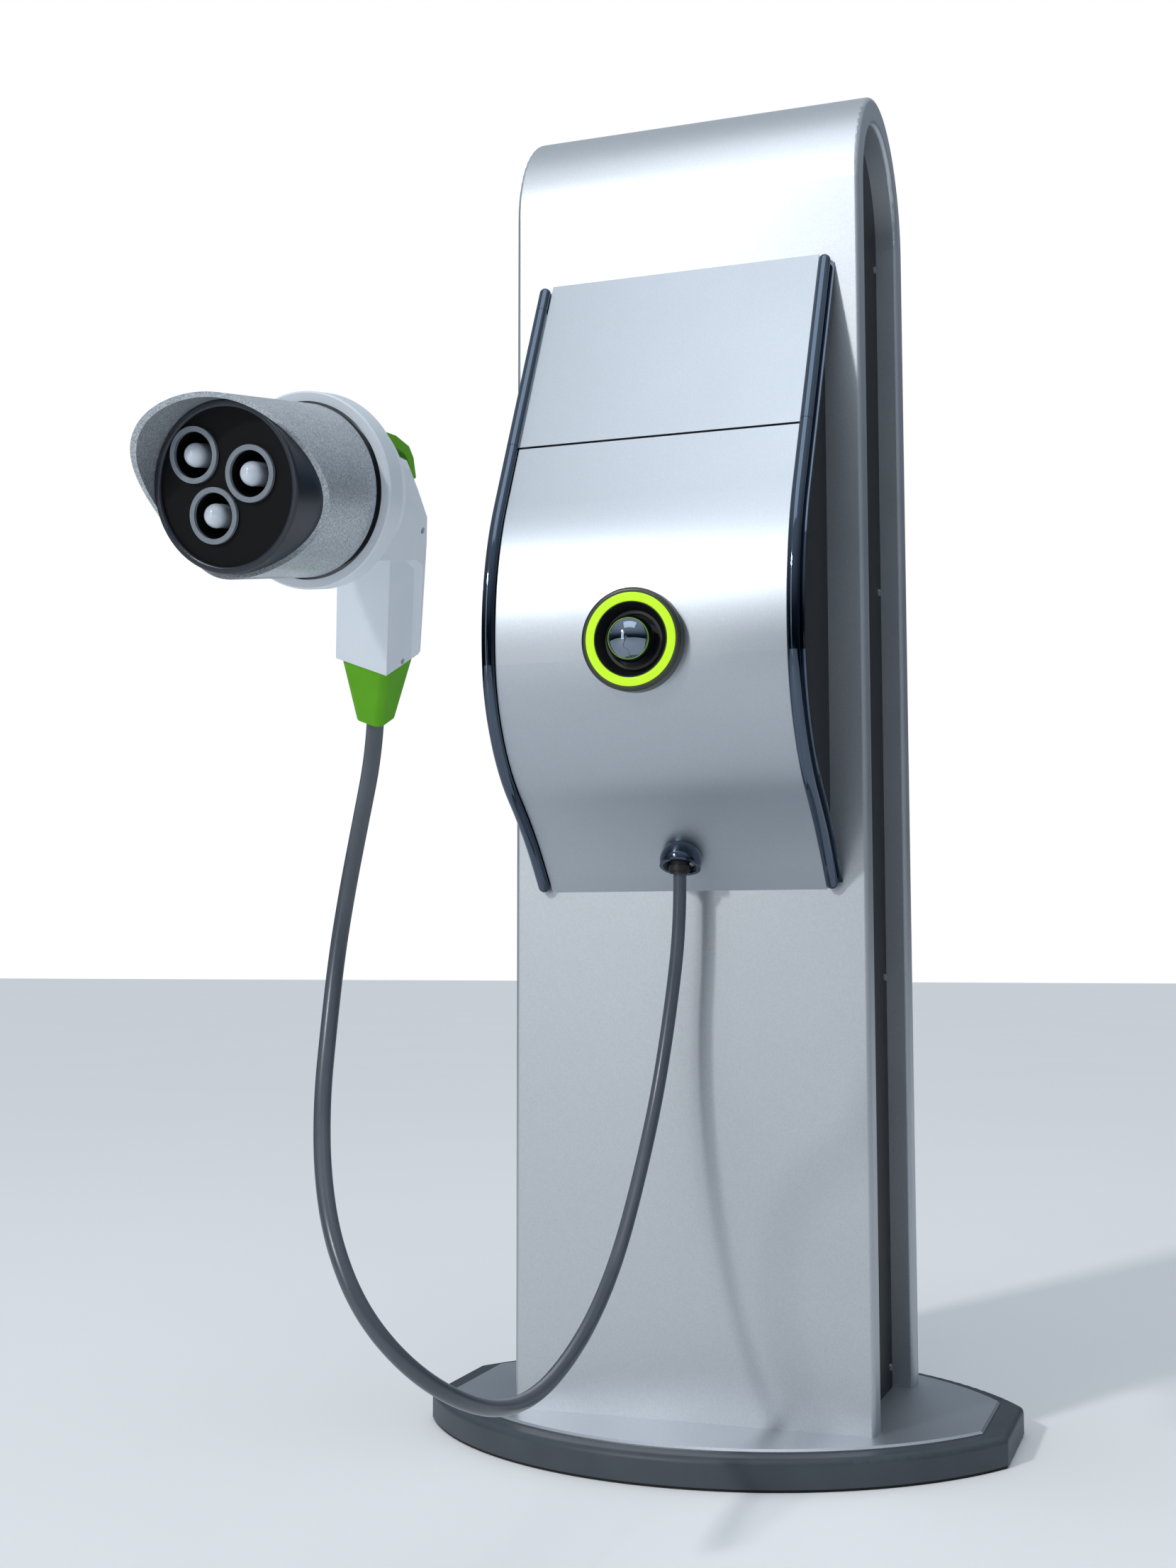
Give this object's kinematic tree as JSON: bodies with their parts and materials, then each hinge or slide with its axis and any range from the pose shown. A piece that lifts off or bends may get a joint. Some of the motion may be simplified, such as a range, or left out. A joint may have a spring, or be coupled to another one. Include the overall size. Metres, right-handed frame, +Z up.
{
  "type": "ev charging post",
  "caption": "Hairpin sheet-metal charging post on a lens-shaped plinth, with a curved console, lit ring, push knob and a corded pistol-grip connector.",
  "frame": {"origin": "floor level at the centre of the four anchor holes, under the middle of the post", "axes": "+Z up, -Y towards the user and the console, +X across the post to the user's right"},
  "size_m": [0.646, 1.3207, 1.4999],
  "materials": {
    "satin_aluminium": "satin anodised sheet",
    "console_aluminium": "fine satin anodised sheet",
    "galvanised_steel": "zinc plated steel",
    "zinc_screw": "zinc plated",
    "gasket_rubber": "black moulded rubber",
    "charcoal_plinth": "fine textured charcoal casting",
    "graphite_sheet": "dark powder coat",
    "grey_conduit": "smooth pipe",
    "chrome_rail": "polished plating",
    "black_moulding": "fine satin moulding",
    "olive_black_housing": "dark semi-gloss moulding",
    "lime_diffuser": "lit lime diffuser",
    "gloss_black_knob": "high gloss",
    "light_grey_moulding": "fine moulding",
    "green_board": "lacquered board",
    "black_insulator": "black insulator",
    "pale_grey_ring": "satin pale grey",
    "white_gloss_contact": "glossy white tip",
    "navy_sleeve": "dark blue grey moulding",
    "silver_grain": "grained silver coat",
    "white_moulding": "white moulding",
    "green_rubber": "green soft moulding",
    "cord_jacket": "charcoal cable jacket"
  },
  "bodies": {
    "post": {"base_gasket": "gasket_rubber", "base_plinth": "charcoal_plinth", "base_top_plate": "satin_aluminium", "board_standoffs": "zinc_screw", "conduit_clips": "zinc_screw", "conduit_grommet": "gasket_rubber", "console_housing": "graphite_sheet", "console_screws": "zinc_screw", "controller_board": "green_board", "cord_tube": "cord_jacket", "core_cover_left": "graphite_sheet", "core_cover_right": "graphite_sheet", "core_liner": "graphite_sheet", "cover_screws": "zinc_screw", "din_rail": "galvanised_steel", "energy_meter": "light_grey_moulding", "flap_catches": "black_moulding", "foot_plate": "galvanised_steel", "front_panel": "console_aluminium", "gland_body": "black_moulding", "gland_hood": "chrome_rail", "gland_locknut": "zinc_screw", "hairpin_shell": "satin_aluminium", "handle_left": "white_moulding", "handle_right": "white_moulding", "handle_screws": "zinc_screw", "hinge_pins": "galvanised_steel", "knob_spring": "galvanised_steel", "leg_screws": "zinc_screw", "leg_spigots": "galvanised_steel", "main_breaker": "light_grey_moulding", "plug_collar": "white_moulding", "plug_contacts": "white_gloss_contact", "plug_face": "black_insulator", "plug_pin_rings": "pale_grey_ring", "plug_shroud": "silver_grain", "plug_sleeve": "navy_sleeve", "power_supply": "galvanised_steel", "rail_left_lower": "chrome_rail", "rail_left_stub": "chrome_rail", "rail_right_lower": "chrome_rail", "rail_right_upper": "chrome_rail", "residual_breaker": "light_grey_moulding", "ring_cup": "black_moulding", "ring_housing": "olive_black_housing", "ring_light": "lime_diffuser", "ring_locknut": "black_moulding", "side_trims": "chrome_rail", "strain_relief": "green_rubber", "supply_conduit": "grey_conduit", "switch_block": "black_moulding", "switch_carrier": "zinc_screw", "terminal_block": "light_grey_moulding", "trigger_pin": "galvanised_steel", "trigger_spring": "galvanised_steel"},
    "flap": {"flap_panel": "console_aluminium", "rail_left_upper": "chrome_rail"},
    "knob": {"push_knob": "gloss_black_knob"},
    "breaker_lever": {"breaker_toggle": "black_moulding"},
    "plug_latch": {"plug_trigger": "green_rubber"}
  },
  "joints": [
    {"name": "flap_hinge", "type": "hinge", "parent": "post", "child": "flap", "pos_m": [-0.161, -0.18709, 1.17682], "axis": [0, -0.4399, -0.898], "range_deg": [0, 85]},
    {"name": "knob_push", "type": "slide", "parent": "post", "child": "knob", "axis": [0, 0.9987, 0.0506], "range_m": [0, 0.003], "stiffness_N_per_m": 900, "springref_m": -0.002, "deforming": ["knob_spring"]},
    {"name": "breaker_throw", "type": "hinge", "parent": "post", "child": "breaker_lever", "pos_m": [-0.0915, -0.2045, 0.98], "axis": [1, 0, 0], "range_deg": [0, 45]},
    {"name": "latch_press", "type": "hinge", "parent": "post", "child": "plug_latch", "pos_m": [-0.0234, -0.8949, 0.89913], "axis": [0.9368, -0.0333, -0.3482], "range_deg": [-3, 0], "stiffness_Nm_per_rad": 1, "springref_deg": 5.73, "deforming": ["trigger_spring"]}
  ]
}
